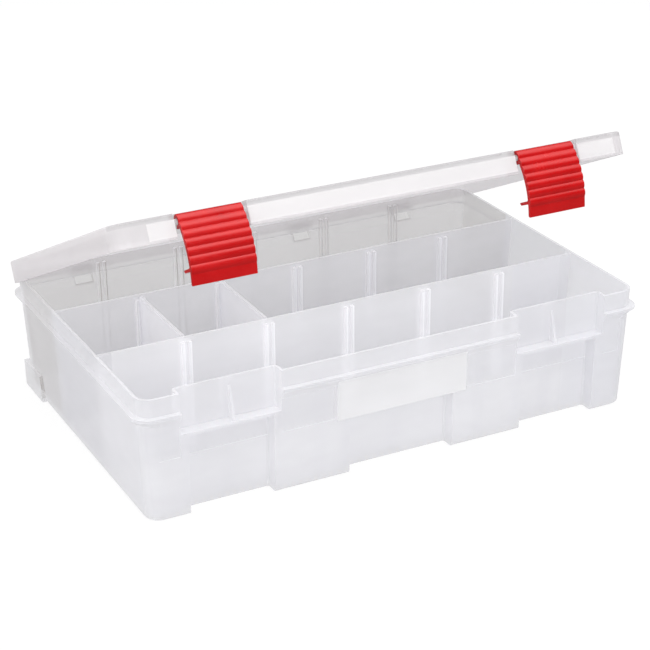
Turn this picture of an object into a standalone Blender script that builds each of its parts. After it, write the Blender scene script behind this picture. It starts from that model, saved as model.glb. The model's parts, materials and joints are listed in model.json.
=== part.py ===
"""Fishing tackle box: a deep clear tray with three rows, a hinged lid and two red snap latches.

World frame: +X to the right along the length, the front faces -Y, +Z up, and the origin is at the
centre of the footprint on the surface the tray rests on. The lid stands part open. Dimensions below
are millimetres, turned into metres where the geometry is made.
"""
import math

import bmesh
import bpy
from mathutils import Matrix

MM = 0.001

# Tray
FLOOR_SIZE = (343.0, 218.0)      # outer length and depth at the floor
LIP_SIZE = (350.4, 221.0)        # outer length and depth at the lip
LIP_Z = 82.5
WALL = 1.7
CORNER_R = 10.0
RIM_Z = (62.5, 69.4, 70.8)       # rim nose: foot of the slope, widest point, flat top
RIM_SIZE = (356.6, 227.2)

# Rows and slots
PARTITION_Y = (-37.3, 37.3)
PARTITION_T = 1.7
PARTITION_Z = 81.9
SLOT_X = (-114.7, -57.35, 0.0, 57.35, 114.7)
SLOT_GAP = 2.4
SLOT_RIB = 2.2
RIB_DEPTH = 2.1
RIB_Z = 79.0

# Latch bays in the front wall, given for the right side: a pocket over a shelf, a channel under it
POCKET_X = (84.0, 150.0)
POCKET_Y = -102.5                # outer face of the set-back wall
CHANNEL_X = (88.5, 145.0)
CHANNEL_Y = (-99.5, -100.2)      # outer face of the channel's wall at the floor and under the shelf
SHELF_Z = (53.5, 55.5)
GUSSET_X = 114.7
GUSSET_TOP_Z = 76.6

# Finger recess and label plate in the middle of the front wall
RECESS_X = 37.0
RECESS_TOP_Z = 39.5
RECESS_Y = (-99.5, -100.2)
LABEL_X = 46.0
LABEL_Z = (39.5, 67.0)
PANEL_X = (47.5, 83.5)
PANEL_Z = (40.5, 63.5)

# Hinge
HINGE_Y, HINGE_Z = 117.8, 73.0
HINGE_X = (-126.0, -42.0, 42.0, 126.0)
HOOK_W = 13.0
HOOK_R = (2.3, 4.2)
HINGE_ROD_R = 1.9
WEB_GAP = 0.6
WEB_T = 2.6
LID_OPEN_DEG = 25.5

# Lid
LID_SIZE = (355.6, 226.2)
LID_Z = (71.1, 86.1)
LID_UNDER_Z = 82.9
LID_PANEL_Z = 84.7
LID_WALL = 1.8
LID_CORNER_R = 12.0
LID_RIM_W = 7.0

# Latches
LATCH_X = 115.5
LATCH_W = 41.4
NOTCH_HALF = 23.2
NOTCH_Y = -104.9                 # front face of the wall behind each latch
NOTCH_WALL = 1.8
NOTCH_BACK_Z = 77.3              # lower edge of that wall, which stops above the tray's gussets
ROD_Y, ROD_Z, ROD_R = -109.6, 81.2, 1.8
BARREL_R = (2.1, 4.4)
LATCH_T = 2.2
LATCH_REST_DEG = (3.0, 0.0)      # how far the left and the right latch stand off the closed angle
LATCH_TIP_Y = -103.6             # where the closed latch's hook ends, under the shelf

# Cross dividers in the middle row
DIVIDER_T = 1.6
DIVIDER_Z = (2.1, 81.4)
DIVIDER_SLOTS = (0, 1)


def start_scene():
    for obj in list(bpy.data.objects):
        bpy.data.objects.remove(obj)
    parts = bpy.data.collections.new("fishing_tackle_box")
    tools = bpy.data.collections.new("cutters_and_joins")
    for collection in (parts, tools):
        bpy.context.scene.collection.children.link(collection)
    return parts, tools


PARTS, TOOLS = start_scene()


def plastic(name, colour, roughness, transmission=0.0):
    mat = bpy.data.materials.new(name)
    mat.use_nodes = True
    shader = mat.node_tree.nodes["Principled BSDF"]
    shader.inputs["Base Color"].default_value = (*colour, 1.0)
    shader.inputs["Roughness"].default_value = roughness
    shader.inputs["Metallic"].default_value = 0.0
    shader.inputs["IOR"].default_value = 1.49
    shader.inputs["Transmission Weight"].default_value = transmission
    return mat


def add_object(name, bm, collection=TOOLS):
    bmesh.ops.recalc_face_normals(bm, faces=bm.faces)
    mesh = bpy.data.meshes.new(name)
    bm.to_mesh(mesh)
    bm.free()
    obj = bpy.data.objects.new(name, mesh)
    collection.objects.link(obj)
    if collection is TOOLS:
        obj.hide_render = True
        obj.display_type = "WIRE"
    return obj


def add_block(bm, low, high, z0, z1):
    """A closed block whose bottom and top are (x0, x1, y0, y1) rectangles at heights z0 and z1."""
    for vert in bmesh.ops.create_cube(bm, size=2.0)["verts"]:
        right, back, up = (c > 0 for c in vert.co)
        rect = high if up else low
        vert.co = (rect[1 if right else 0] * MM, rect[3 if back else 2] * MM, (z1 if up else z0) * MM)


def blocks(name, specs, collection=TOOLS):
    """One object of several blocks. Each spec is (bottom rectangle, top rectangle, z0, z1)."""
    bm = bmesh.new()
    for spec in specs:
        add_block(bm, *spec)
    return add_object(name, bm, collection)


def box(x0, x1, y0, y1, z0, z1):
    return ((x0, x1, y0, y1), (x0, x1, y0, y1), z0, z1)


def mirrored(spec):
    """The same block on the other side of x = 0."""
    low, high, z0, z1 = spec
    return ((-low[1], -low[0], *low[2:]), (-high[1], -high[0], *high[2:]), z0, z1)


def centred(size):
    return (-size[0] / 2, size[0] / 2, -size[1] / 2, size[1] / 2)


def rounded_block(name, low, high, z0, z1, radius, collection=TOOLS, steps=6, foot=0.0):
    """A block on the middle with rounded upright edges, and a rounded foot if asked for."""
    bm = bmesh.new()
    add_block(bm, centred(low), centred(high), z0, z1)
    upright = [e for e in bm.edges if abs(e.verts[0].co.z - e.verts[1].co.z) > 0.5 * MM]
    bmesh.ops.bevel(bm, geom=upright, offset=radius * MM, offset_type="OFFSET", segments=steps,
                    profile=0.5, affect="EDGES")
    if foot:
        base = [e for e in bm.edges if max(v.co.z for v in e.verts) < (z0 + 0.01) * MM]
        bmesh.ops.bevel(bm, geom=base, offset=foot * MM, offset_type="OFFSET", segments=3,
                        profile=0.5, affect="EDGES")
    return add_object(name, bm, collection)


def outline_solid(name, points, x0, x1, collection=TOOLS):
    """A flat outline of (y, z) points, filled and given a thickness along X."""
    curve = bpy.data.curves.new(name, "CURVE")
    curve.dimensions = "2D"
    curve.fill_mode = "BOTH"
    curve.extrude = (x1 - x0) / 2 * MM
    spline = curve.splines.new("POLY")
    spline.points.add(len(points) - 1)
    for point, (y, z) in zip(spline.points, points):
        point.co = (y * MM, z * MM, 0.0, 1.0)
    spline.use_cyclic_u = True
    guide = bpy.data.objects.new(name + "_outline", curve)
    bpy.context.scene.collection.objects.link(guide)
    to_yz = Matrix(((0, 0, 1, (x0 + x1) / 2 * MM), (1, 0, 0, 0), (0, 1, 0, 0), (0, 0, 0, 1)))
    guide.matrix_world = to_yz
    bpy.context.view_layer.update()
    graph = bpy.context.evaluated_depsgraph_get()
    mesh = bpy.data.meshes.new_from_object(guide.evaluated_get(graph))
    bm = bmesh.new()
    bm.from_mesh(mesh)
    bmesh.ops.transform(bm, matrix=to_yz, verts=bm.verts)
    bmesh.ops.remove_doubles(bm, verts=bm.verts, dist=0.00001)
    bpy.data.objects.remove(guide)
    bpy.data.curves.remove(curve)
    bpy.data.meshes.remove(mesh)
    return add_object(name, bm, collection)


def rods(name, centres, radius, length, y, z, steps=24):
    """Round rods along X, one at each centre."""
    bm = bmesh.new()
    for x in centres:
        turn = Matrix.Translation((x * MM, y * MM, z * MM)) @ Matrix.Rotation(math.pi / 2, 4, "Y")
        bmesh.ops.create_cone(bm, cap_ends=True, segments=steps, radius1=radius * MM,
                              radius2=radius * MM, depth=length * MM, matrix=turn)
    return add_object(name, bm)


def boolean(obj, tool, operation):
    modifier = obj.modifiers.new(tool.name, "BOOLEAN")
    modifier.operation = operation
    modifier.solver = "EXACT"
    modifier.object = tool


def settle(obj):
    """Keeps the result of the object's Booleans as its mesh, so that it can then be turned."""
    bpy.context.view_layer.update()
    graph = bpy.context.evaluated_depsgraph_get()
    mesh = bpy.data.meshes.new_from_object(obj.evaluated_get(graph))
    obj.modifiers.clear()
    obj.data = mesh


def arc(centre, radius, start, end, steps):
    """Points on an arc in the (y, z) plane, angles in degrees from +Y towards +Z."""
    found = []
    for i in range(steps + 1):
        a = math.radians(start + (end - start) * i / steps)
        found.append((centre[0] + radius * math.cos(a), centre[1] + radius * math.sin(a)))
    return found


def at_height(low, high, z, top=LIP_Z):
    """A value that runs evenly from low at the floor to high at the lip."""
    return low + (high - low) * z / top


# ---------------------------------------------------------------- tray

def front_hollows(grow):
    """The hollows in the front wall: two pockets, the channels under them and the finger recess.

    Grown by the wall thickness, the same blocks keep the tray's cavity back from them.
    """
    def hollow(x0, x1, back_low, back_high, z0, z1):
        return ((x0 - grow, x1 + grow, -140.0, back_low + grow),
                (x0 - grow, x1 + grow, -140.0, back_high + grow), z0, z1)

    pocket = hollow(*POCKET_X, POCKET_Y, POCKET_Y, SHELF_Z[1] - grow, LIP_Z + 15.0)
    channel = hollow(*CHANNEL_X, *CHANNEL_Y, -5.0, SHELF_Z[0] + grow)
    recess = hollow(-RECESS_X, RECESS_X, *RECESS_Y, -5.0, RECESS_TOP_Z + grow)
    return [pocket, mirrored(pocket), channel, mirrored(channel), recess]


def tray_cavity():
    inner = WALL * 2
    grow_z = 12.0 / LIP_Z
    low = [a - inner for a in FLOOR_SIZE]
    high = [b - inner + (b - a) * grow_z for a, b in zip(FLOOR_SIZE, LIP_SIZE)]
    low = [a + (h - a) * WALL / (LIP_Z + 12.0) for a, h in zip(low, high)]
    cavity = rounded_block("tray_cavity", low, high, WALL, LIP_Z + 12.0, CORNER_R - WALL, foot=1.6)
    for number, spec in enumerate(front_hollows(WALL)):
        boolean(cavity, blocks(f"cavity_kept_back_{number}", [spec]), "DIFFERENCE")
    return cavity


def slot_ribs():
    """Pairs of upright ribs that hold the cross dividers, on both partitions and on the outer walls."""
    specs = []
    near, far = SLOT_GAP / 2, SLOT_GAP / 2 + SLOT_RIB
    wall_foot = FLOOR_SIZE[1] / 2 - WALL
    wall_top = at_height(FLOOR_SIZE[1], LIP_SIZE[1], RIB_Z) / 2 - WALL
    reach = PARTITION_T / 2 + RIB_DEPTH
    for slot in SLOT_X:
        for x0, x1 in ((slot - far, slot - near), (slot + near, slot + far)):
            for y in PARTITION_Y:
                specs.append(box(x0, x1, y - reach, y + reach, WALL / 2, RIB_Z))
            rear = ((x0, x1, wall_foot - RIB_DEPTH, wall_foot + 0.9),
                    (x0, x1, wall_top - RIB_DEPTH, wall_top + 0.9), WALL / 2, RIB_Z)
            front_wall = ((x0, x1, -wall_foot - 0.9, -wall_foot + RIB_DEPTH),
                          (x0, x1, -wall_top - 0.9, -wall_top + RIB_DEPTH), WALL / 2, RIB_Z)
            inner = CHANNEL_Y[0] + WALL + RIB_DEPTH
            if abs(slot) > POCKET_X[0]:
                front_wall = box(x0, x1, -wall_top, inner, WALL / 2, RIB_Z)
            elif abs(slot) < RECESS_X:
                specs.append(box(x0, x1, -103.0, inner, WALL / 2, RECESS_TOP_Z + WALL / 2))
            specs += [rear, front_wall]
    return blocks("slot_ribs", specs)


def partitions():
    half_low = FLOOR_SIZE[0] / 2 - WALL / 2
    half_high = at_height(FLOOR_SIZE[0], LIP_SIZE[0], PARTITION_Z) / 2 - WALL / 2
    t = PARTITION_T / 2
    return blocks("long_partitions", [
        ((-half_low, half_low, y - t, y + t), (-half_high, half_high, y - t, y + t), WALL / 2, PARTITION_Z)
        for y in PARTITION_Y])


def front_y(z):
    """The front wall's outer face at a height."""
    return -at_height(FLOOR_SIZE[1], LIP_SIZE[1], z) / 2


def tray_fronts():
    """The label plate and the rear corner pads: plain blocks joined to the outside."""
    z0, z1 = LABEL_Z
    label = ((-LABEL_X, LABEL_X, front_y(z0) - 1.1, front_y(z0) + 0.9),
             (-LABEL_X, LABEL_X, front_y(z1) - 1.1, front_y(z1) + 0.9), z0, z1)
    pad = ((169.5, 174.2, 74.0, 107.0), (170.5, 174.6, 76.0, 107.0), 0.4, 19.0)
    return blocks("tray_fronts", [label, pad, mirrored(pad)])


def hinge_hook(x):
    """A C-shaped hook on an arm from the rear rim, open upwards so that the lid's rod snaps in."""
    centre = (HINGE_Y, HINGE_Z)
    open_from, open_to = 20.0, 115.0
    outer = arc(centre, HOOK_R[1], open_to, 213.0, 8)
    bottom = arc(centre, HOOK_R[1], 280.0, 360.0 + open_from, 8)
    inner = arc(centre, HOOK_R[0], 360.0 + open_from, open_to, 18)
    arm = [(111.0, outer[-1][1]), (111.0, 63.6), (113.5, 63.6)]
    return outline_solid(f"hook_{x:+.0f}", outer + arm + bottom + inner, x - HOOK_W / 2, x + HOOK_W / 2)


def gusset(x):
    z0 = SHELF_Z[1] - 0.6
    inside = POCKET_Y + 0.8
    points = [(inside, z0), (inside, GUSSET_TOP_Z), (POCKET_Y - 0.3, GUSSET_TOP_Z),
              (front_y(SHELF_Z[1]) + 0.5, z0)]
    return outline_solid(f"gusset_{x:+.0f}", points, x - 0.8, x + 0.8)


def make_tray(mat):
    tray = rounded_block("base_tray", FLOOR_SIZE, LIP_SIZE, 0.0, LIP_Z, CORNER_R, PARTS, foot=2.0)
    slope_low = [at_height(a, b, RIM_Z[0]) - 0.8 for a, b in zip(FLOOR_SIZE, LIP_SIZE)]
    rim = rounded_block("rim_slope", slope_low, RIM_SIZE, RIM_Z[0], RIM_Z[1], CORNER_R + 1.5)
    flat = rounded_block("rim_flat", RIM_SIZE, RIM_SIZE, RIM_Z[1] - 0.3, RIM_Z[2], CORNER_R + 1.5)
    boolean(tray, rim, "UNION")
    boolean(tray, flat, "UNION")
    panel = ((PANEL_X[0], PANEL_X[1], -140.0, front_y(PANEL_Z[0]) + 0.7),
             (PANEL_X[0], PANEL_X[1], -140.0, front_y(PANEL_Z[1]) + 0.7), *PANEL_Z)
    boolean(tray, blocks("front_panels", [panel, mirrored(panel)]), "DIFFERENCE")
    boolean(tray, tray_cavity(), "DIFFERENCE")
    boolean(tray, partitions(), "UNION")
    boolean(tray, slot_ribs(), "UNION")
    boolean(tray, blocks("bays_and_recess", front_hollows(0.0)), "DIFFERENCE")
    boolean(tray, tray_fronts(), "UNION")
    for x in (-GUSSET_X, GUSSET_X):
        boolean(tray, gusset(x), "UNION")
    for x in HINGE_X:
        boolean(tray, hinge_hook(x), "UNION")
    tray.data.materials.append(mat)
    return tray


# ---------------------------------------------------------------- lid

def notch(grow, y_grow, z0, z1):
    half = NOTCH_HALF + grow
    spec = box(LATCH_X - half, LATCH_X + half, -140.0, NOTCH_Y + y_grow, z0, z1)
    return [spec, mirrored(spec)]


def hinge_web(x):
    """A web from the lid's rear skirt, rounded round the hinge rod."""
    centre = (HINGE_Y, HINGE_Z)
    points = [(112.0, 72.0), (112.0, 84.0), (114.0, 84.0)]
    points += arc(centre, 3.3, 60.0, -105.0, 12)
    points += [(113.2, 71.6)]
    return outline_solid(f"web_{x:+.1f}", points[::-1], x - WEB_T / 2, x + WEB_T / 2)


def make_lid(mat, hinge):
    lid = rounded_block("lid", LID_SIZE, LID_SIZE, LID_Z[0], LID_Z[1], LID_CORNER_R, PARTS, steps=7)
    inside = [a - 2 * LID_WALL for a in LID_SIZE]
    hollow = rounded_block("lid_hollow", inside, inside, 60.0, LID_UNDER_Z, LID_CORNER_R - LID_WALL)
    boolean(hollow, blocks("hollow_kept_back", notch(NOTCH_WALL, NOTCH_WALL, 50.0, 95.0)), "DIFFERENCE")
    field = [a - 2 * LID_RIM_W for a in LID_SIZE]
    top = rounded_block("lid_field", field, [a + 1.5 for a in field], LID_PANEL_Z, 90.0, 8.0)
    boolean(top, blocks("field_kept_back", notch(5.0, 5.0, 80.0, 95.0)), "DIFFERENCE")
    boolean(lid, hollow, "DIFFERENCE")
    boolean(lid, top, "DIFFERENCE")
    boolean(lid, blocks("latch_notches", notch(0.0, 0.0, 50.0, 95.0)), "DIFFERENCE")
    boolean(lid, blocks("gusset_room", notch(0.0, NOTCH_WALL + 3.0, 50.0, NOTCH_BACK_Z)), "DIFFERENCE")
    boolean(lid, rods("latch_rods", (-LATCH_X, LATCH_X), ROD_R, 2 * NOTCH_HALF + 1.8, ROD_Y, ROD_Z),
            "UNION")
    reach = HOOK_W / 2 + WEB_GAP + WEB_T / 2
    for x in HINGE_X:
        for side in (-1, 1):
            boolean(lid, hinge_web(x + side * reach), "UNION")
    boolean(lid, rods("hinge_rods", HINGE_X, HINGE_ROD_R, HOOK_W + 2 * WEB_GAP + WEB_T, HINGE_Y, HINGE_Z,
                      steps=20), "UNION")
    settle(lid)
    hang(lid, hinge)
    lid.data.materials.append(mat)
    return lid


def hang(obj, pivot, at=None):
    """Hangs an object modelled in the closed position on a pivot empty, which then turns it."""
    x, y, z = at if at else (0.0, HINGE_Y, HINGE_Z)
    obj.parent = pivot
    obj.matrix_parent_inverse = Matrix.Identity(4)
    obj.location = (-x * MM, -y * MM, -z * MM)


def pivot_empty(name, at, angle, parent=None, parent_at=(0.0, 0.0, 0.0)):
    empty = bpy.data.objects.new(name, None)
    TOOLS.objects.link(empty)
    empty.parent = parent
    empty.location = [(a - b) * MM for a, b in zip(at, parent_at)]
    empty.rotation_euler = (-math.radians(angle), 0.0, 0.0)
    return empty


# ---------------------------------------------------------------- latches

def latch_outline():
    """Side view of the closed latch: a clip round the rod, a bowed ribbed plate, a hook and a tab."""
    rod = (ROD_Y, ROD_Z)
    top, bottom = (ROD_Y - 1.0, ROD_Z + 4.28), (ROD_Y - 2.4, ROD_Z - 38.6)
    bow, ridges, ridge_share = 4.9, 7, 0.85
    chord = math.dist(top, bottom)
    along = ((bottom[0] - top[0]) / chord, (bottom[1] - top[1]) / chord)
    out = (along[1], -along[0])

    def plate(share, lift):
        """A point on the bowed plate, lift outside its outer face."""
        rise = 4 * bow * share * (1 - share) + lift
        return (top[0] + along[0] * chord * share + out[0] * rise,
                top[1] + along[1] * chord * share + out[1] * rise)

    outer = []
    for i in range(57):
        share = 0.02 + 0.98 * i / 56
        wave = abs(math.sin(math.pi * ridges * share / ridge_share)) if share < ridge_share else 0.0
        outer.append(plate(share, 0.85 * wave ** 0.8))
    hook_top = SHELF_Z[0] - 0.35
    inner = [plate(0.985, -LATCH_T + 0.5)] + [plate(0.965 - 0.80 * i / 23, -LATCH_T) for i in range(24)]
    low = [p for p in inner if p[1] < hook_top - 2.4]
    high = [p for p in inner if hook_top + 0.3 < p[1] < ROD_Z - BARREL_R[1] - 0.2]
    root = low[-1][0]
    hook = [(root + 0.2, hook_top - 2.1), (LATCH_TIP_Y - 1.0, hook_top - 1.9),
            (LATCH_TIP_Y, hook_top - 0.9), (LATCH_TIP_Y, hook_top), (root + 0.2, hook_top)]
    clip_outer = arc(rod, BARREL_R[1], 236.0, 300.0, 8)
    clip_inner = arc(rod, BARREL_R[0], 300.0, 30.0, 24)
    clip_back = arc(rod, BARREL_R[1], 30.0, 103.0, 8)
    return outer + low + hook + high + clip_outer + clip_inner + clip_back


def make_latch(name, x, rest_angle, mat, lid_hinge):
    latch = outline_solid(name, latch_outline(), -LATCH_W / 2, LATCH_W / 2, PARTS)
    pivot = pivot_empty(name + "_pivot", (x, ROD_Y, ROD_Z), rest_angle, lid_hinge, (0.0, HINGE_Y, HINGE_Z))
    hang(latch, pivot, (0.0, ROD_Y, ROD_Z))
    latch.data.materials.append(mat)
    return latch


# ---------------------------------------------------------------- dividers

def make_divider(name, x, mat):
    """A loose plate with a thicker top edge between the slots; it lifts straight out."""
    t = DIVIDER_T / 2
    wide = PARTITION_Y[1] - PARTITION_T / 2 - 0.35
    narrow = wide - RIB_DEPTH - 0.5
    z0, z1 = DIVIDER_Z
    points = [(-wide, z0), (wide, z0)]
    points += arc((wide - 3.0, z1 - 3.0), 3.0, 0.0, 90.0, 5)
    points += arc((-wide + 3.0, z1 - 3.0), 3.0, 90.0, 180.0, 5)
    plate = outline_solid(name, points, x - t, x + t, PARTS)
    bead = blocks(name + "_bead", [box(x - t - 0.5, x + t + 0.5, -narrow, narrow, z1 - 4.0, z1 - 1.0)])
    boolean(plate, bead, "UNION")
    plate.data.materials.append(mat)
    return plate


def main():
    clear = plastic("frosted_clear_polypropylene", (0.90, 0.91, 0.92), 0.35, 0.7)
    lid_clear = plastic("lid_clear_polypropylene", (0.88, 0.89, 0.90), 0.3, 0.7)
    divider_clear = plastic("divider_clear_polypropylene", (0.90, 0.91, 0.92), 0.35, 0.7)
    red = plastic("red_latch_plastic", (0.72, 0.02, 0.02), 0.3)
    make_tray(clear)
    hinge = pivot_empty("lid_hinge", (0.0, HINGE_Y, HINGE_Z), LID_OPEN_DEG)
    make_lid(lid_clear, hinge)
    make_latch("latch_left", -LATCH_X, LATCH_REST_DEG[0], red, hinge)
    make_latch("latch_right", LATCH_X, LATCH_REST_DEG[1], red, hinge)
    for number, slot in enumerate(DIVIDER_SLOTS, start=1):
        make_divider(f"divider_{number}", SLOT_X[slot], divider_clear)
    for obj in PARTS.objects:
        obj.data.shade_smooth()
        obj.data.set_sharp_from_angle(angle=math.radians(32.0))


main()
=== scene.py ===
"""Looks of a clear fishing tackle box that stands part open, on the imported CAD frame."""
import json
import math

import bmesh
import bpy
from mathutils import Matrix, Vector

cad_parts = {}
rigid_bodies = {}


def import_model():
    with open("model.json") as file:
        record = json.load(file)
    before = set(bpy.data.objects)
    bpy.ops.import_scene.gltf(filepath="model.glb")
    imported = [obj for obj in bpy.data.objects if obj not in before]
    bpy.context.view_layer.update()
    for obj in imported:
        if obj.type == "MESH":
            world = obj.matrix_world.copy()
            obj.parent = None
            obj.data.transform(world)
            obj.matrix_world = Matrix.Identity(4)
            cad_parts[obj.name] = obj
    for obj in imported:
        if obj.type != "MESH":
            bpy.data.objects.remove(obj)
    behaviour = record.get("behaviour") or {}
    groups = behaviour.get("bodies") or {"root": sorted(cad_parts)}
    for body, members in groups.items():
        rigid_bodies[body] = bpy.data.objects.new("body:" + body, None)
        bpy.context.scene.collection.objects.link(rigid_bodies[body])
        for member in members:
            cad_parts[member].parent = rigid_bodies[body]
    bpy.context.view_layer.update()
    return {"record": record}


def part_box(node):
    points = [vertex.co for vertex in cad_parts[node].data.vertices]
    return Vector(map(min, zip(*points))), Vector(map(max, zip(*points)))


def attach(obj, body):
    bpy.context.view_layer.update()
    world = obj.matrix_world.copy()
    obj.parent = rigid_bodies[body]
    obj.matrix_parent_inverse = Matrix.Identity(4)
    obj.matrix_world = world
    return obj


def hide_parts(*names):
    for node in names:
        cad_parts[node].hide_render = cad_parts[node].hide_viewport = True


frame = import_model()
MM = 0.001

# ---------------------------------------------------------------- places, from the frame

JOINTS = {joint["name"]: joint for joint in frame["record"]["behaviour"]["joints"]}
HINGE_AT = Vector(JOINTS["lid_hinge"]["pos_m"]) * 1000
LID_OPEN = -JOINTS["lid_hinge"]["range_deg"][0]
TRAY_LOW, TRAY_HIGH = (corner * 1000 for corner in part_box("base_tray"))
LIP_Z = TRAY_HIGH.z
SLOT_PITCH = 57.35
DIVIDER_X = {name: sum(c.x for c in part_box(name)) * 500 for name in ("divider_1", "divider_2")}


def opened(angle):
    """The turn that opens the lid by an angle in degrees, about the hinge axis, in metres."""
    at = Matrix.Translation(HINGE_AT * MM)
    return at @ Matrix.Rotation(-math.radians(angle), 4, "X") @ at.inverted()


LID_REST = opened(LID_OPEN)

# Cutters run past the pieces to these places, mm
AHEAD_Y = -140.0
UNDER_TRAY_Z, OVER_TRAY_Z = -5.0, LIP_Z + 15.0
UNDER_LID_Z, OVER_LID_Z = 50.0, 95.0

# Tray, mm
FLOOR_SIZE, LIP_SIZE = (343.0, 218.0), (350.4, 221.0)
WALL = 1.7
CORNER_R = 10.0
RIM_Z, RIM_SIZE = (62.5, 69.4, 70.8), (TRAY_HIGH.x - TRAY_LOW.x, 227.2)
PARTITION_Y, PARTITION_T, PARTITION_Z = (-37.3, 37.3), 1.7, 81.9
SLOTS = [SLOT_PITCH * i for i in (-2, -1, 0, 1, 2)]
SLOT_GAP, SLOT_RIB, RIB_DEPTH, RIB_Z = 2.4, 2.2, 2.1, 79.0
POCKET_X, POCKET_Y = (84.0, 150.0), -102.5
CHANNEL_X, CHANNEL_Y = (88.5, 145.0), (-99.5, -100.2)
HOLLOW_CORNER_R = 1.6
SHELF_Z = (53.5, 55.5)
GUSSET_X, GUSSET_T, GUSSET_TOP_Z = 114.7, 1.6, 76.6
RECESS_X, RECESS_TOP_Z, RECESS_Y = 37.0, 39.5, (-99.5, -100.2)
LABEL_X, LABEL_Z, LABEL_RISE, LABEL_ROOT = 46.0, (39.5, 67.0), 1.1, 0.9
PANEL_X, PANEL_Z, PANEL_DEPTH = (47.5, 83.5), (40.5, 63.5), 0.7
CORNER_PANEL_X, CORNER_PANEL_Z, CORNER_PANEL_DEPTH = (150.5, 164.0), (40.5, 61.0), 0.45
BEAD_Z, BEAD_RISE = (34.7, 36.1), 1.1
REAR_PAD = ((169.5, 174.2, 74.0, 107.0), (170.5, 174.6, 76.0, 107.0), 0.4, 19.0)
HOOK_X, HOOK_W, HOOK_R = (-126.0, -42.0, 42.0, 126.0), 13.0, (2.3, 4.2)
HOOK_ARM_Y, HOOK_ARM_Z = (111.0, 113.5), 63.6
HINGE_ROD_R, WEB_R, WEB_GAP, WEB_T = 1.9, 3.3, 0.6, 2.6

# Lid and latches, mm, in the closed position
LID_SIZE, LID_Z, LID_CORNER_R, LID_WALL = (355.6, 226.2), (71.1, 86.1), 12.0, 1.8
LID_UNDER_Z, LID_PANEL_Z, LID_RIM_W = 82.9, 84.7, 7.0
LATCH_X, LATCH_W, LATCH_T = 115.5, 41.4, 2.2
NOTCH_HALF, NOTCH_Y, NOTCH_WALL, NOTCH_BACK_Z = 23.2, -104.9, 1.8, 77.3
ROD_Y, ROD_Z, ROD_R = -109.6, 81.2, 1.8
BARREL_R = (2.1, 4.4)
LATCH_TIP_Y = -103.6
RIDGES, RIDGE_RISE, RIDGED_SHARE = 7, 1.05, 0.85

# Dividers, mm
DIVIDER_T, DIVIDER_Z, DIVIDER_CORNER_R = 1.6, (2.1, 81.4), 3.0

# Where the tray's plastic changes, mm
FRONT_ROW_Y, ROW_FLOOR_Z = -31.0, 3.0

STORE = bpy.data.collections.new("building_tools")
bpy.context.scene.collection.children.link(STORE)


# ---------------------------------------------------------------- mesh helpers

def object_of(name, bm, home=STORE):
    bmesh.ops.recalc_face_normals(bm, faces=bm.faces)
    mesh = bpy.data.meshes.new(name)
    bm.to_mesh(mesh)
    bm.free()
    obj = bpy.data.objects.new(name, mesh)
    home.objects.link(obj)
    return obj


def add_block(bm, low, high, z0, z1):
    for vert in bmesh.ops.create_cube(bm, size=2.0)["verts"]:
        right, back, up = (c > 0 for c in vert.co)
        rect = high if up else low
        vert.co = (rect[1 if right else 0] * MM, rect[3 if back else 2] * MM, (z1 if up else z0) * MM)


def blocks(name, specs):
    bm = bmesh.new()
    for spec in specs:
        add_block(bm, *spec)
    return object_of(name, bm)


def box(x0, x1, y0, y1, z0, z1):
    """A straight block, as the two rectangles and two heights that add_block takes."""
    return ((x0, x1, y0, y1), (x0, x1, y0, y1), z0, z1)


def mirrored(spec):
    """The same block on the other side of the middle plane."""
    low, high, z0, z1 = spec
    return ((-low[1], -low[0], *low[2:]), (-high[1], -high[0], *high[2:]), z0, z1)


def centred(size):
    return (-size[0] / 2, size[0] / 2, -size[1] / 2, size[1] / 2)


def rounded(bm, edges, radius, steps):
    bmesh.ops.bevel(bm, geom=edges, offset=radius * MM, offset_type="OFFSET", segments=steps,
                    profile=0.5, affect="EDGES")


def upright_edges(bm, least):
    """The edges that rise by more than a least height in millimetres."""
    return [e for e in bm.edges if abs(e.verts[0].co.z - e.verts[1].co.z) > least * MM]


def rounded_block(name, low, high, z0, z1, radius, foot=0.0, crown=0.0):
    """A block with rounded upright edges, and a rounded foot and top edge if asked for."""
    bm = bmesh.new()
    add_block(bm, centred(low), centred(high), z0, z1)
    rounded(bm, upright_edges(bm, 0.5), radius, 12)
    for width, z in ((foot, z0), (crown, z1)):
        if width:
            ring = [e for e in bm.edges if all(abs(v.co.z - z * MM) < 1e-6 for v in e.verts)]
            rounded(bm, ring, width, 4)
    return object_of(name, bm)


def outline_solid(name, points, x0, x1):
    """A flat outline of (y, z) points with a thickness along X."""
    bm = bmesh.new()
    near = [bm.verts.new((x0 * MM, y * MM, z * MM)) for y, z in points]
    face = bm.faces.new(near)
    found = bmesh.ops.extrude_face_region(bm, geom=[face])
    moved = [v for v in found["geom"] if isinstance(v, bmesh.types.BMVert)]
    bmesh.ops.translate(bm, verts=moved, vec=((x1 - x0) * MM, 0, 0))
    return object_of(name, bm)


def rods(name, centres, radius, length, y, z):
    """Round rods along X, one at each centre."""
    bm = bmesh.new()
    for x in centres:
        turn = Matrix.Translation((x * MM, y * MM, z * MM)) @ Matrix.Rotation(math.pi / 2, 4, "Y")
        bmesh.ops.create_cone(bm, cap_ends=True, segments=40, radius1=radius * MM,
                              radius2=radius * MM, depth=length * MM, matrix=turn)
    return object_of(name, bm)


def boolean(obj, tool, operation):
    modifier = obj.modifiers.new(tool.name, "BOOLEAN")
    modifier.operation = operation
    modifier.solver = "EXACT"
    modifier.object = tool


def arc(centre, radius, start, end, steps):
    """Points on a circle from one angle to another, in degrees."""
    found = []
    for i in range(steps + 1):
        a = math.radians(start + (end - start) * i / steps)
        found.append((centre[0] + radius * math.cos(a), centre[1] + radius * math.sin(a)))
    return found


def at_height(low, high, z):
    """A size of the tapered tray at a height, from its sizes at the floor and at the lip."""
    return low + (high - low) * z / LIP_Z


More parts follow.
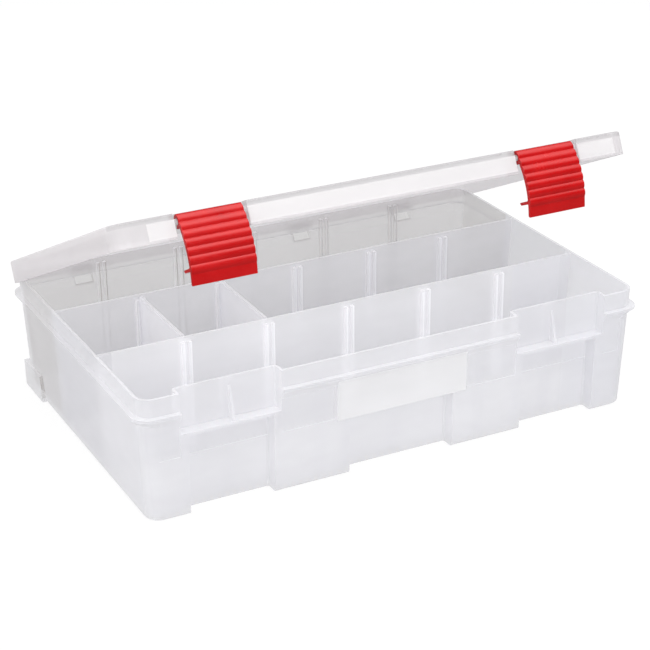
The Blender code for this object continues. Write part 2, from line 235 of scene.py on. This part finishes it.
def applied(obj):
    """Turns the object's modifiers into its mesh."""
    bpy.context.view_layer.update()
    graph = bpy.context.evaluated_depsgraph_get()
    mesh = bpy.data.meshes.new_from_object(obj.evaluated_get(graph))
    obj.modifiers.clear()
    obj.data = mesh
    return mesh


def finished(obj, edge, angle=32.0):
    """Applies the Booleans, cleans the faces and softens every hard edge a little."""
    mesh = applied(obj)
    bm = bmesh.new()
    bm.from_mesh(mesh)
    bmesh.ops.remove_doubles(bm, verts=bm.verts, dist=0.00002)
    bmesh.ops.dissolve_limit(bm, angle_limit=math.radians(0.6), verts=bm.verts, edges=bm.edges)
    bm.to_mesh(mesh)
    bm.free()
    bevel = obj.modifiers.new("soft_edges", "BEVEL")
    bevel.width = edge * MM
    bevel.segments = 2
    bevel.limit_method = "ANGLE"
    bevel.angle_limit = math.radians(angle)
    bevel.use_clamp_overlap = True
    mesh = applied(obj)
    mesh.shade_smooth()
    mesh.set_sharp_from_angle(angle=math.radians(38.0))
    even = obj.modifiers.new("even_faces", "WEIGHTED_NORMAL")
    even.mode = "FACE_AREA"
    even.weight = 100
    even.keep_sharp = True
    applied(obj)
    return obj


def show(obj, material, body, node):
    """Puts a finished piece in the scene, on its body, in place of its CAD node."""
    obj.data.materials.append(material)
    for home in list(obj.users_collection):
        home.objects.unlink(obj)
    bpy.context.scene.collection.objects.link(obj)
    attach(obj, body)
    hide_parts(node)


# ---------------------------------------------------------------- tray

def front_y(z):
    """Where the tray's sloping front wall is at a height."""
    return -at_height(FLOOR_SIZE[1], LIP_SIZE[1], z) / 2


def front_hollows(grow):
    """The latch bays' pockets and channels and the low recess, grown by a wall for the inner side."""
    def hollow(x0, x1, back_low, back_high, z0, z1):
        return ((x0 - grow, x1 + grow, AHEAD_Y, back_low + grow),
                (x0 - grow, x1 + grow, AHEAD_Y, back_high + grow), z0, z1)

    pocket = hollow(*POCKET_X, POCKET_Y, POCKET_Y, SHELF_Z[1] - grow, OVER_TRAY_Z)
    channel = hollow(*CHANNEL_X, *CHANNEL_Y, UNDER_TRAY_Z, SHELF_Z[0] + grow)
    recess = hollow(-RECESS_X, RECESS_X, *RECESS_Y, UNDER_TRAY_Z, RECESS_TOP_Z + grow)
    return [pocket, mirrored(pocket), channel, mirrored(channel), recess]


def softened(obj, radius):
    """Rounds the upright edges of a block, for hollows whose corners are rounded in the moulding."""
    bm = bmesh.new()
    bm.from_mesh(obj.data)
    rounded(bm, upright_edges(bm, 4), radius, 3)
    bm.to_mesh(obj.data)
    bm.free()
    return obj


def tray_cavity():
    """What is taken out of the tray, with the inner side of each front hollow kept back."""
    inner, over = WALL * 2, 12.0
    grow_z = over / LIP_Z
    low = [a - inner for a in FLOOR_SIZE]
    high = [b - inner + (b - a) * grow_z for a, b in zip(FLOOR_SIZE, LIP_SIZE)]
    low = [a + (h - a) * WALL / (LIP_Z + over) for a, h in zip(low, high)]
    cavity = rounded_block("tray_cavity", low, high, WALL, LIP_Z + over, CORNER_R - WALL, foot=1.8)
    for number, spec in enumerate(front_hollows(WALL)):
        tool = softened(blocks(f"kept_back_{number}", [spec]), 2 * HOLLOW_CORNER_R)
        boolean(cavity, tool, "DIFFERENCE")
    return cavity


def slot_ribs():
    """A pair of ribs on each side of every divider slot, in all three rows."""
    specs = []
    near, far = SLOT_GAP / 2, SLOT_GAP / 2 + SLOT_RIB
    wall_foot = FLOOR_SIZE[1] / 2 - WALL
    wall_top = at_height(FLOOR_SIZE[1], LIP_SIZE[1], RIB_Z) / 2 - WALL
    reach = PARTITION_T / 2 + RIB_DEPTH
    inner = CHANNEL_Y[0] + WALL + RIB_DEPTH
    for slot in SLOTS:
        for x0, x1 in ((slot - far, slot - near), (slot + near, slot + far)):
            for y in PARTITION_Y:
                specs.append(box(x0, x1, y - reach, y + reach, WALL / 2, RIB_Z))
            rear = ((x0, x1, wall_foot - RIB_DEPTH, wall_foot + 0.9),
                    (x0, x1, wall_top - RIB_DEPTH, wall_top + 0.9), WALL / 2, RIB_Z)
            front = ((x0, x1, -wall_foot - 0.9, -wall_foot + RIB_DEPTH),
                     (x0, x1, -wall_top - 0.9, -wall_top + RIB_DEPTH), WALL / 2, RIB_Z)
            if abs(slot) > POCKET_X[0]:
                front = box(x0, x1, -wall_top, inner, WALL / 2, RIB_Z)
            elif abs(slot) < RECESS_X:
                specs.append(box(x0, x1, RECESS_Y[0] - 3.5, inner, WALL / 2, RECESS_TOP_Z + WALL / 2))
            specs += [rear, front]
    return blocks("slot_ribs", specs)


def partitions():
    """The two long walls between the rows, which end inside the tapered end walls."""
    half_low = FLOOR_SIZE[0] / 2 - WALL / 2
    half_high = at_height(FLOOR_SIZE[0], LIP_SIZE[0], PARTITION_Z) / 2 - WALL / 2
    t = PARTITION_T / 2
    specs = []
    for y in PARTITION_Y:
        low, high = ((-half, half, y - t, y + t) for half in (half_low, half_high))
        specs.append((low, high, WALL / 2, PARTITION_Z))
    return blocks("long_partitions", specs)


def hinge_hook(x):
    """An open hook behind the tray, in which a rod of the lid lies."""
    centre = (HINGE_AT.y, HINGE_AT.z)
    outer = arc(centre, HOOK_R[1], 115.0, 213.0, 14)
    bottom = arc(centre, HOOK_R[1], 280.0, 380.0, 14)
    inner = arc(centre, HOOK_R[0], 380.0, 115.0, 30)
    near, far = HOOK_ARM_Y
    arm = [(near, outer[-1][1]), (near, HOOK_ARM_Z), (far, HOOK_ARM_Z)]
    return outline_solid(f"hook_{x:+.0f}", outer + arm + bottom + inner, x - HOOK_W / 2, x + HOOK_W / 2)


def gusset(x):
    """The small upright brace on a latch bay's shelf."""
    z0 = SHELF_Z[1] - 0.6
    inside = POCKET_Y + 0.8
    points = [(inside, z0), (inside, GUSSET_TOP_Z), (POCKET_Y - 0.3, GUSSET_TOP_Z),
              (front_y(SHELF_Z[1]) + 0.5, z0)]
    return outline_solid(f"gusset_{x:+.0f}", points, x - GUSSET_T / 2, x + GUSSET_T / 2)


def sunk_panel(xs, zs, depth):
    """What is taken off the sloping front for a shallow panel."""
    low, high = ((*xs, AHEAD_Y, front_y(z) + depth) for z in zs)
    return (low, high, *zs)


def raised_parts():
    """The label area on the front, the pads at the rear corners and a bead across each channel."""
    low, high = ((-LABEL_X, LABEL_X, front_y(z) - LABEL_RISE, front_y(z) + LABEL_ROOT) for z in LABEL_Z)
    bead = box(CHANNEL_X[0] - 0.5, CHANNEL_X[1] + 0.5, CHANNEL_Y[0] - BEAD_RISE, CHANNEL_Y[0] + 0.6,
               *BEAD_Z)
    return [(low, high, *LABEL_Z), REAR_PAD, mirrored(REAR_PAD), bead, mirrored(bead)]


def make_tray():
    tray = rounded_block("tray_moulding", FLOOR_SIZE, LIP_SIZE, 0.0, LIP_Z, CORNER_R, foot=2.0)
    slope_low = [at_height(a, b, RIM_Z[0]) - 0.8 for a, b in zip(FLOOR_SIZE, LIP_SIZE)]
    rim = rounded_block("rim_slope", slope_low, RIM_SIZE, RIM_Z[0], RIM_Z[1], CORNER_R + 1.5)
    flat = rounded_block("rim_flat", RIM_SIZE, RIM_SIZE, RIM_Z[1] - 0.3, RIM_Z[2], CORNER_R + 1.5)
    boolean(tray, rim, "UNION")
    boolean(tray, flat, "UNION")
    panels = [sunk_panel(PANEL_X, PANEL_Z, PANEL_DEPTH),
              sunk_panel(CORNER_PANEL_X, CORNER_PANEL_Z, CORNER_PANEL_DEPTH)]
    boolean(tray, blocks("front_panels", panels + [mirrored(p) for p in panels]), "DIFFERENCE")
    boolean(tray, tray_cavity(), "DIFFERENCE")
    boolean(tray, partitions(), "UNION")
    boolean(tray, slot_ribs(), "UNION")
    for number, spec in enumerate(front_hollows(0.0)):
        boolean(tray, softened(blocks(f"hollow_{number}", [spec]), HOLLOW_CORNER_R), "DIFFERENCE")
    boolean(tray, blocks("raised_parts", raised_parts()), "UNION")
    for x in (-GUSSET_X, GUSSET_X):
        boolean(tray, gusset(x), "UNION")
    for x in HOOK_X:
        boolean(tray, hinge_hook(x), "UNION")
    return finished(tray, edge=0.4)


# ---------------------------------------------------------------- lid

def notches(name, beside, behind, top=OVER_LID_Z):
    """Cutters for both latch notches, grown by some millimetres beside and behind."""
    half = NOTCH_HALF + beside
    spec = box(LATCH_X - half, LATCH_X + half, AHEAD_Y, NOTCH_Y + behind, UNDER_LID_Z, top)
    return blocks(name, [spec, mirrored(spec)])


def hinge_web(x):
    """A plate behind the lid's skirt that carries one end of a hinge rod."""
    root_y, root_z = 112.0, (72.0, 84.0)
    points = [(root_y, root_z[0]), (root_y, root_z[1]), (root_y + 2.0, root_z[1])]
    points += arc((HINGE_AT.y, HINGE_AT.z), WEB_R, 60.0, -105.0, 18)
    points.append((root_y + 1.2, root_z[0] - 0.4))
    return outline_solid(f"web_{x:+.1f}", points[::-1], x - WEB_T / 2, x + WEB_T / 2)


def make_lid():
    lid = rounded_block("lid_moulding", LID_SIZE, LID_SIZE, LID_Z[0], LID_Z[1], LID_CORNER_R, crown=1.3)
    inside = [a - 2 * LID_WALL for a in LID_SIZE]
    hollow = rounded_block("lid_hollow", inside, inside, 60.0, LID_UNDER_Z, LID_CORNER_R - LID_WALL,
                           crown=1.0)
    boolean(hollow, notches("hollow_kept_back", NOTCH_WALL, NOTCH_WALL), "DIFFERENCE")
    field = [a - 2 * LID_RIM_W for a in LID_SIZE]
    top = rounded_block("lid_field", field, [a + 1.5 for a in field], LID_PANEL_Z, 90.0, 8.0)
    boolean(top, notches("field_kept_back", 5.0, 5.0), "DIFFERENCE")
    boolean(lid, hollow, "DIFFERENCE")
    boolean(lid, top, "DIFFERENCE")
    boolean(lid, notches("latch_notches", 0.0, 0.0), "DIFFERENCE")
    boolean(lid, notches("gusset_room", 0.0, NOTCH_WALL + 3.0, NOTCH_BACK_Z), "DIFFERENCE")
    boolean(lid, rods("latch_rods", (-LATCH_X, LATCH_X), ROD_R, 2 * NOTCH_HALF + 1.8, ROD_Y, ROD_Z),
            "UNION")
    reach = HOOK_W / 2 + WEB_GAP + WEB_T / 2
    for x in HOOK_X:
        for side in (-1, 1):
            boolean(lid, hinge_web(x + side * reach), "UNION")
    boolean(lid, rods("hinge_rods", HOOK_X, HINGE_ROD_R, HOOK_W + 2 * WEB_GAP + WEB_T, HINGE_AT.y,
                      HINGE_AT.z), "UNION")
    lid = finished(lid, edge=0.35)
    lid.matrix_world = LID_REST
    return lid


# ---------------------------------------------------------------- latches

def latch_outline():
    """Side view of the closed latch: a clip round the rod, a bowed ribbed plate, a hook and a tab."""
    rod = (ROD_Y, ROD_Z)
    top, bottom = (ROD_Y - 1.0, ROD_Z + 4.28), (ROD_Y - 2.4, ROD_Z - 38.6)
    bow = 4.9
    chord = math.dist(top, bottom)
    along = ((bottom[0] - top[0]) / chord, (bottom[1] - top[1]) / chord)
    out = (along[1], -along[0])

    def plate(share, lift):
        """A point at a share of the plate's length, lifted off its bowed middle line."""
        rise = 4 * bow * share * (1 - share) + lift
        return (top[0] + along[0] * chord * share + out[0] * rise,
                top[1] + along[1] * chord * share + out[1] * rise)

    outer, steps = [], 168
    for i in range(steps + 1):
        share = 0.02 + 0.98 * i / steps
        ridged = share < RIDGED_SHARE
        wave = abs(math.sin(math.pi * RIDGES * share / RIDGED_SHARE)) if ridged else 0.0
        outer.append(plate(share, RIDGE_RISE * wave ** 0.75))
    hook_top = SHELF_Z[0] - 0.35
    inner = [plate(0.985, -LATCH_T + 0.5)] + [plate(0.965 - 0.80 * i / 47, -LATCH_T) for i in range(48)]
    low = [p for p in inner if p[1] < hook_top - 2.4]
    high = [p for p in inner if hook_top + 0.3 < p[1] < ROD_Z - BARREL_R[1] - 0.2]
    root = low[-1][0]
    hook = [(root + 0.2, hook_top - 2.1), (LATCH_TIP_Y - 1.0, hook_top - 1.9),
            (LATCH_TIP_Y, hook_top - 0.9), (LATCH_TIP_Y, hook_top), (root + 0.2, hook_top)]
    clip_outer = arc(rod, BARREL_R[1], 236.0, 300.0, 12)
    clip_inner = arc(rod, BARREL_R[0], 300.0, 30.0, 36)
    clip_back = arc(rod, BARREL_R[1], 30.0, 103.0, 12)
    return outer + low + hook + high + clip_outer + clip_inner + clip_back


def make_latch(side, x):
    latch = outline_solid(f"snap_latch_{side}", latch_outline(), x - LATCH_W / 2, x + LATCH_W / 2)
    latch = finished(latch, edge=0.3, angle=40.0)
    rod = Vector((x, ROD_Y, ROD_Z)) * MM
    stand_off = -JOINTS[f"latch_{side}_hinge"]["range_deg"][0]
    turn = Matrix.Translation(rod) @ Matrix.Rotation(-math.radians(stand_off), 4, "X")
    latch.matrix_world = LID_REST @ turn @ Matrix.Translation(-rod)
    return latch


# ---------------------------------------------------------------- dividers

def make_divider(node, x):
    """A plate that slides in a pair of slots, with a thicker edge near its top."""
    half = DIVIDER_T / 2
    wide = PARTITION_Y[1] - PARTITION_T / 2 - 0.35
    narrow = wide - RIB_DEPTH - 0.5
    z0, z1 = DIVIDER_Z
    turn_y, turn_z = wide - DIVIDER_CORNER_R, z1 - DIVIDER_CORNER_R
    points = [(-wide, z0), (wide, z0)]
    points += arc((turn_y, turn_z), DIVIDER_CORNER_R, 0.0, 90.0, 8)
    points += arc((-turn_y, turn_z), DIVIDER_CORNER_R, 90.0, 180.0, 8)
    plate = outline_solid(node + "_plate", points, x - half, x + half)
    bead = box(x - half - 0.5, x + half + 0.5, -narrow, narrow, z1 - 4.0, z1 - 1.0)
    boolean(plate, blocks(node + "_bead", [bead]), "UNION")
    return finished(plate, edge=0.3)


# ---------------------------------------------------------------- materials

def shader_tree(name):
    mat = bpy.data.materials.new(name)
    mat.use_nodes = True
    nodes, links = mat.node_tree.nodes, mat.node_tree.links
    nodes.clear()
    return mat, nodes, links


def noise(nodes, links, coords, scale, detail, rough, stretch=None):
    """A noise texture on object coordinates, stretched along an axis if asked for."""
    tex = nodes.new("ShaderNodeTexNoise")
    tex.inputs["Scale"].default_value = scale
    tex.inputs["Detail"].default_value = detail
    tex.inputs["Roughness"].default_value = rough
    if stretch:
        mapping = nodes.new("ShaderNodeMapping")
        mapping.inputs["Scale"].default_value = stretch
        links.new(coords, mapping.inputs["Vector"])
        coords = mapping.outputs["Vector"]
    links.new(coords, tex.inputs["Vector"])
    return tex.outputs["Fac"]


def ramp(nodes, links, value, low, high, to_low, to_high):
    """A number mapped from one range to another, clamped."""
    node = nodes.new("ShaderNodeMapRange")
    for key, number in zip(("From Min", "From Max", "To Min", "To Max"), (low, high, to_low, to_high)):
        node.inputs[key].default_value = number
    links.new(value, node.inputs["Value"])
    return node.outputs["Result"]


def feed(links, socket, value):
    """Gives a socket a plain value, or links another node's output to it."""
    if isinstance(value, (int, float, tuple)):
        socket.default_value = value
    else:
        links.new(value, socket)


def math_node(nodes, links, operation, first, second, clamp=False):
    node = nodes.new("ShaderNodeMath")
    node.operation = operation
    node.use_clamp = clamp
    for socket, value in zip(node.inputs, (first, second)):
        feed(links, socket, value)
    return node.outputs[0]


def product(nodes, links, *values):
    result = values[0]
    for value in values[1:]:
        result = math_node(nodes, links, "MULTIPLY", result, value)
    return result


def field(x=(None, None), y=(None, None), z=(None, None), cover=0.0, colour=(1.0, 1.0, 1.0)):
    """A box of a piece's closed position, in mm, with what its plastic adds in cover and its colour."""
    return {"low": (x[0], y[0], z[0]), "high": (x[1], y[1], z[1]), "cover": cover, "colour": (*colour, 1.0)}


def slab(nodes, links, coords, low, high):
    """1 inside a box of object space given in millimetres, 0 outside, with a soft edge."""
    soft = 0.6
    parts = nodes.new("ShaderNodeSeparateXYZ")
    links.new(coords, parts.inputs[0])
    inside = None
    for axis, (near, far) in enumerate(zip(low, high)):
        for limit, sign in ((near, 1), (far, -1)):
            if limit is None:
                continue
            start, end = (limit - sign * soft / 2) * MM, (limit + sign * soft / 2) * MM
            part = ramp(nodes, links, parts.outputs[axis], start, end, 0.0, 1.0)
            inside = part if inside is None else product(nodes, links, inside, part)
    return inside


def colour_mix(nodes, links, fac, first, second):
    node = nodes.new("ShaderNodeMix")
    node.data_type = "RGBA"
    feed(links, node.inputs["Factor"], fac)
    feed(links, node.inputs[6], first)
    feed(links, node.inputs[7], second)
    return node.outputs[2]


def bumped(nodes, links, surface, height, strength):
    """Fine unevenness of a moulded surface."""
    bump = nodes.new("ShaderNodeBump")
    bump.inputs["Strength"].default_value = strength
    bump.inputs["Distance"].default_value = 0.2 * MM
    links.new(height, bump.inputs["Height"])
    links.new(bump.outputs["Normal"], surface.inputs["Normal"])


def shader_mix(nodes, links, fac, first, second):
    node = nodes.new("ShaderNodeMixShader")
    feed(links, node.inputs["Fac"], fac)
    links.new(first.outputs[0], node.inputs[1])
    links.new(second.outputs[0], node.inputs[2])
    return node


def end_shader(nodes, links, shader):
    links.new(shader.outputs[0], nodes.new("ShaderNodeOutputMaterial").inputs["Surface"])


def facing_in(nodes, links, coords):
    """1 on faces that look towards the middle of the box, 0 on its outer faces."""
    toward = nodes.new("ShaderNodeVectorMath")
    toward.operation = "DOT_PRODUCT"
    links.new(nodes.new("ShaderNodeTexCoord").outputs["Normal"], toward.inputs[0])
    links.new(coords, toward.inputs[1])
    behind = nodes.new("ShaderNodeNewGeometry").outputs["Backfacing"]
    turned = ramp(nodes, links, behind, 0.0, 1.0, 1.0, -1.0)
    outward = product(nodes, links, toward.outputs["Value"], turned)
    return ramp(nodes, links, outward, -2.0 * MM, 0.0, 1.0, 0.0)


def rib_mask(nodes, links, coords):
    """1 on the pairs of ribs beside the divider slots of the two long partitions, 0 elsewhere."""
    def within(value, start, end):
        return ramp(nodes, links, value, start * MM, end * MM, 1.0, 0.0)

    parts = nodes.new("ShaderNodeSeparateXYZ")
    links.new(coords, parts.inputs[0])
    across, deep, height = parts.outputs
    ahead = math_node(nodes, links, "ADD", across, 4 * SLOT_PITCH * MM)
    from_slot = math_node(nodes, links, "PINGPONG", ahead, SLOT_PITCH / 2 * MM)
    open_slot = ramp(nodes, links, from_slot, 0.9 * MM, 1.3 * MM, 0.35, 1.0)
    from_middle = math_node(nodes, links, "ABSOLUTE", deep, 0.0)
    apart = math_node(nodes, links, "SUBTRACT", from_middle, PARTITION_Y[1] * MM)
    from_partition = math_node(nodes, links, "ABSOLUTE", apart, 0.0)
    from_centre = math_node(nodes, links, "ABSOLUTE", across, 0.0)
    above_floor = ramp(nodes, links, height, 3.0 * MM, 6.0 * MM, 0.0, 1.0)
    return product(nodes, links, within(from_slot, 3.3, 4.0), open_slot, within(from_partition, 3.2, 3.8),
                   within(from_centre, 150.0, 151.0), above_floor, within(height, RIB_Z, RIB_Z + 0.6))


def clear_plastic(name, body, tint, edge_light, rough=0.30, through=0.97, gloss=0.55, zones=(), shades=(),
                  ribs=0.0):
    """Clear moulded plastic that scatters a little: see-through face on, milkier at a slant.

    Its body is how much of what lies behind it covers. Zones are fields of the moulding with more or
    less cover and a colour of their own, some of which is painted light or painted shade; shades are
    fields of painted shade on its inward faces only. Edge light is a painted glow, an emission on faces
    seen at a slant. With ribs set, the divider slots' ribs get more painted glow, which stands for light
    piped along them, and look whiter than the walls.
    """
    mat, nodes, links = shader_tree(name)
    coords = nodes.new("ShaderNodeTexCoord").outputs["Object"]
    flow = noise(nodes, links, coords, 9.0, 3.0, 0.55, (1.0, 1.0, 2.5))
    grain = noise(nodes, links, coords, 1100.0, 2.0, 0.6)
    waves = noise(nodes, links, coords, 30.0, 1.0, 0.4)

    colour = (*tint, 1.0)
    slant = nodes.new("ShaderNodeLayerWeight")
    slant.inputs["Blend"].default_value = 0.35
    rim = ramp(nodes, links, slant.outputs["Facing"], 0.15, 1.0, 0.0, 0.35)
    flowing = ramp(nodes, links, flow, 0.3, 0.7, body - 0.03, body + 0.03)
    cover = math_node(nodes, links, "ADD", rim, flowing)
    inward = facing_in(nodes, links, coords) if shades else 1.0
    for place, turned in [(zone, 1.0) for zone in zones] + [(shade, inward) for shade in shades]:
        inside = product(nodes, links, slab(nodes, links, coords, place["low"], place["high"]), turned)
        extra = product(nodes, links, inside, place["cover"])
        cover = math_node(nodes, links, "ADD", cover, extra, clamp=True)
        colour = colour_mix(nodes, links, inside, colour, place["colour"])

    surface = nodes.new("ShaderNodeBsdfPrincipled")
    surface.inputs["IOR"].default_value = 1.49
    surface.inputs["Specular IOR Level"].default_value = gloss
    # Painted glow: an emission on faces seen at a slant, and more on the slot ribs, stands for light piped
    # through the clear plastic.
    painted_glow = product(nodes, links, rim, edge_light)
    if ribs:
        inside = rib_mask(nodes, links, coords)
        cover = math_node(nodes, links, "ADD", cover, product(nodes, links, inside, 0.10), clamp=True)
        painted_glow = math_node(nodes, links, "ADD", painted_glow, product(nodes, links, inside, ribs))
    # The colour of the painted glow.
    surface.inputs["Emission Color"].default_value = (0.98, 0.97, 1.0, 1.0)
    links.new(painted_glow, surface.inputs["Emission Strength"])
    links.new(ramp(nodes, links, flow, 0.3, 0.7, rough - 0.05, rough + 0.05), surface.inputs["Roughness"])
    uneven = math_node(nodes, links, "ADD", product(nodes, links, grain, 0.3), waves)
    bumped(nodes, links, surface, uneven, 0.05)
    scatter = nodes.new("ShaderNodeBsdfTranslucent")
    feed(links, surface.inputs["Base Color"], colour)
    feed(links, scatter.inputs["Color"], colour)
    milky = shader_mix(nodes, links, 0.35, surface, scatter)

    clear = nodes.new("ShaderNodeBsdfTransparent")
    clear.inputs["Color"].default_value = (through, through, through + 0.004, 1.0)
    end_shader(nodes, links, shader_mix(nodes, links, cover, clear, milky))
    return mat


def red_plastic():
    """Glossy red moulding, a little uneven in its tone and gloss."""
    mat, nodes, links = shader_tree("red_latch_gloss")
    coords = nodes.new("ShaderNodeTexCoord").outputs["Object"]
    cloud = noise(nodes, links, coords, 60.0, 3.0, 0.5)
    fine = noise(nodes, links, coords, 1400.0, 2.0, 0.6)
    tone = nodes.new("ShaderNodeValToRGB")
    deep, bright = tone.color_ramp.elements
    deep.position, deep.color = 0.3, (0.42, 0.001, 0.002, 1.0)
    bright.position, bright.color = 0.7, (0.50, 0.002, 0.003, 1.0)
    links.new(cloud, tone.inputs["Fac"])
    surface = nodes.new("ShaderNodeBsdfPrincipled")
    links.new(tone.outputs["Color"], surface.inputs["Base Color"])
    surface.inputs["IOR"].default_value = 1.5
    surface.inputs["Specular IOR Level"].default_value = 0.5
    links.new(ramp(nodes, links, cloud, 0.3, 0.7, 0.20, 0.28), surface.inputs["Roughness"])
    bumped(nodes, links, surface, fine, 0.08)
    end_shader(nodes, links, surface)
    return mat


def tray_plastic():
    """Frosted on the label area, lighter on the front partition as painted light, greyer on inner faces
    further back and darker at the front's right end as painted shade, clear in the hooks.
    """
    label = field(x=(-LABEL_X, LABEL_X), y=(-113.0, -108.9), z=LABEL_Z, cover=0.30)
    # Painted light: the front partition gets a lighter colour and a little more cover, as it is lit most
    # from the front.
    front = field(x=(-164.0, 164.0), y=(-43.0, FRONT_ROW_Y), z=(ROW_FLOOR_Z, None), cover=0.08,
                  colour=(0.985, 0.985, 1.0))
    # Painted shade: a darker field at the right end of the front.
    painted_shade_far_end = field(x=(126.0, None), y=(None, FRONT_ROW_Y), z=(ROW_FLOOR_Z, None), cover=0.03,
                    colour=(0.925, 0.925, 0.955))
    # Painted shade: inward faces turn grey from the front row backwards and darkest in the rear row, where
    # less light reaches under the lid.
    middle = field(y=(FRONT_ROW_Y, None), z=(ROW_FLOOR_Z, None), colour=(0.80, 0.80, 0.83))
    rear = field(y=(45.0, None), z=(ROW_FLOOR_Z, None), colour=(0.60, 0.575, 0.55))
    return clear_plastic("frosted_clear", body=0.32, tint=(0.965, 0.963, 0.985), edge_light=0.17, rough=0.42,
                         gloss=0.4, zones=(label, front, painted_shade_far_end, hinge_field()), shades=(middle, rear),
                         ribs=0.14)


def lid_plastic():
    """Clearest in its flat panel, whitest on the front skirt as a painted reflection, greyer along the front
    edge, with painted shade underneath.
    """
    panel = field(x=(-164.0, 164.0), y=(NOTCH_Y, -NOTCH_Y), z=(LID_UNDER_Z, None), cover=-0.20,
                  colour=(0.97, 0.965, 0.98))
    slab_edge = field(y=(None, NOTCH_Y), z=(LID_UNDER_Z, None), cover=0.12, colour=(0.64, 0.62, 0.63))
    # Painted reflection: the skirt's front panels cover more and so look white, like the bright room they
    # reflect.
    skirt = field(x=(-156.0, 166.0), y=(None, -112.0), z=(72.5, 82.6), cover=0.34,
                  colour=(0.95, 0.935, 0.94))
    # Painted shade: the lid's inward faces underneath are darker, as they get little light.
    painted_shade_under = field(x=(-170.0, 170.0), y=(NOTCH_Y, 106.0), cover=0.04, colour=(0.58, 0.555, 0.545))
    return clear_plastic("clear_lid", body=0.34, tint=(0.96, 0.93, 0.945), edge_light=0.12, rough=0.34,
                         through=0.94, gloss=0.45, zones=(panel, slab_edge, skirt, hinge_field()),
                         shades=(painted_shade_under,))


def hinge_field():
    """The hooks, rods and webs behind the lid, which are thin and clear."""
    return field(y=(LID_SIZE[1] / 2 + 0.4, None), cover=-0.2)


def divider_plastic():
    return clear_plastic("clear_divider", body=0.30, tint=(0.975, 0.97, 0.99), edge_light=0.15)


# ---------------------------------------------------------------- stage

THROUGH_LIGHT = 0.75  # how bright the backdrop looks through plastic, where it is 1 when bare
CAMERA_AT, CAMERA_TURN, CAMERA_LENS = (-0.512, -0.9996, 0.5618), (65.5, 0.39, -27.415), 101.8


def backdrop(nodes, links):
    """How bright the backdrop is to the camera: full where it is bare, less behind plastic."""
    depth = nodes.new("ShaderNodeLightPath").outputs["Transparent Depth"]
    return ramp(nodes, links, depth, 0.0, 1.0, 1.0, THROUGH_LIGHT)


def by_ray(nodes, links, seen, mirrored_in, lighting):
    """A strength for what the camera sees, one for what shines in gloss, and one that lights the piece."""
    path = nodes.new("ShaderNodeLightPath")
    result = lighting
    for key, value in (("Is Glossy Ray", mirrored_in), ("Is Camera Ray", seen)):
        node = nodes.new("ShaderNodeMix")
        links.new(path.outputs[key], node.inputs["Factor"])
        feed(links, node.inputs[2], result)
        feed(links, node.inputs[3], value)
        result = node.outputs[0]
    return result


def studio_world():
    """A white room that lights from above, with its bright part overhead in mirrored light."""
    world = bpy.data.worlds.new("studio")
    world.use_nodes = True
    nodes, links = world.node_tree.nodes, world.node_tree.links
    height = nodes.new("ShaderNodeSeparateXYZ")
    links.new(nodes.new("ShaderNodeTexCoord").outputs["Generated"], height.inputs[0])
    soft = ramp(nodes, links, height.outputs["Z"], -0.1, 0.9, 0.50, 0.95)
    mirror = ramp(nodes, links, height.outputs["Z"], 0.55, 0.92, 0.04, 2.6)
    links.new(by_ray(nodes, links, backdrop(nodes, links), mirror, soft),
              nodes["Background"].inputs["Strength"])
    nodes["Background"].inputs["Color"].default_value = (1.0, 1.0, 1.0, 1.0)
    return world


def studio_floor(home):
    bm = bmesh.new()
    bmesh.ops.create_grid(bm, x_segments=1, y_segments=1, size=6.0)
    floor = object_of("studio_floor", bm, home)
    floor.location.z = -0.6 * MM
    mat, nodes, links = shader_tree("pale_floor")
    light = nodes.new("ShaderNodeEmission")
    links.new(by_ray(nodes, links, backdrop(nodes, links), 0.04, 0.42), light.inputs["Strength"])
    diffuse = nodes.new("ShaderNodeBsdfDiffuse")
    diffuse.inputs["Color"].default_value = (0.9, 0.9, 0.9, 1.0)
    end_shader(nodes, links, shader_mix(nodes, links, 0.88, diffuse, light))
    floor.data.materials.append(mat)


def softbox(home, name, at, aim_z, size, power):
    """A soft light over the floor, turned to a height on the box's middle line, unseen in gloss."""
    light = bpy.data.lights.new(name, "AREA")
    light.shape = "RECTANGLE"
    light.size, light.size_y = size
    light.energy = power
    obj = bpy.data.objects.new(name, light)
    home.objects.link(obj)
    obj.location = at
    obj.visible_glossy = False
    obj.rotation_euler = (Vector((0.0, 0.0, aim_z)) - Vector(at)).to_track_quat("-Z", "Y").to_euler()


def make_camera(home):
    camera = bpy.data.cameras.new("camera")
    camera.sensor_width = 36.0
    camera.lens = CAMERA_LENS
    camera.clip_start, camera.clip_end = 0.05, 50.0
    eye = bpy.data.objects.new("camera", camera)
    home.objects.link(eye)
    eye.location = CAMERA_AT
    eye.rotation_euler = [math.radians(a) for a in CAMERA_TURN]
    return eye


def stage():
    scene = bpy.context.scene
    scene.view_settings.view_transform = "Standard"
    scene.cycles.transparent_max_bounces = 40
    scene.world = studio_world()
    home = scene.collection
    studio_floor(home)
    softbox(home, "front_box", (-0.1, -2.0, 0.9), 0.08, (1.6, 1.0), 20.0)
    softbox(home, "left_box", (-2.0, -0.3, 0.9), 0.05, (1.2, 1.0), 17.0)
    softbox(home, "top_box", (0.1, -0.3, 1.8), 0.0, (1.4, 1.0), 14.0)
    scene.camera = make_camera(home)


def main():
    divider_clear, red = divider_plastic(), red_plastic()
    show(make_tray(), tray_plastic(), "tray", "base_tray")
    show(make_lid(), lid_plastic(), "lid_body", "lid")
    for side, x in (("left", -LATCH_X), ("right", LATCH_X)):
        show(make_latch(side, x), red, f"latch_{side}_body", f"latch_{side}")
    for node, x in DIVIDER_X.items():
        show(make_divider(node, x), divider_clear, f"{node}_body", node)
    for obj in list(STORE.objects):
        bpy.data.objects.remove(obj)
    stage()


main()
